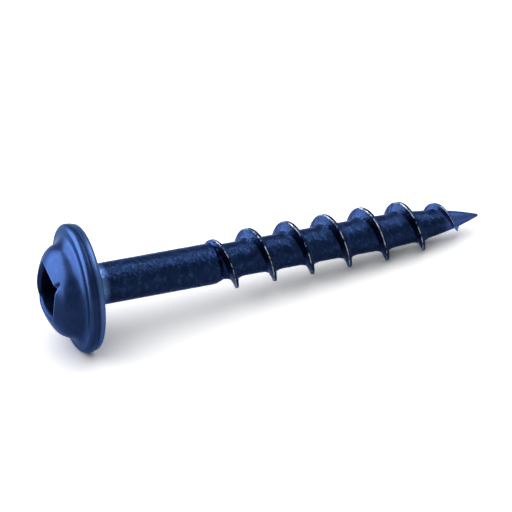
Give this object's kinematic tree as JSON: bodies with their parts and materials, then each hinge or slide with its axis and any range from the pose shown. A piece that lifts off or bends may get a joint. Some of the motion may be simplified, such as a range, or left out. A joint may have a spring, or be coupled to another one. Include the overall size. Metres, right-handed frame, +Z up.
{
  "type": "pocket hole screw",
  "caption": "Pocket hole screw with a washer flange, a low dome with a square recess, a smooth shank, a coarse deep thread and a slotted point, lying at rest.",
  "frame": {"origin": "on the ground under the middle of the screw's length", "axes": "+X along the screw towards its point, level with the ground; +Z up; the screw's own axis dips towards its point by 6.5 degrees"},
  "size_m": [0.034, 0.0094, 0.0095],
  "materials": {
    "blue_coating": "semi-gloss dark blue anti-corrosion coating on carbon steel, worn to bright metal on the crests of the thread"
  },
  "bodies": {
    "root": {"screw": "blue_coating"}
  },
  "joints": []
}
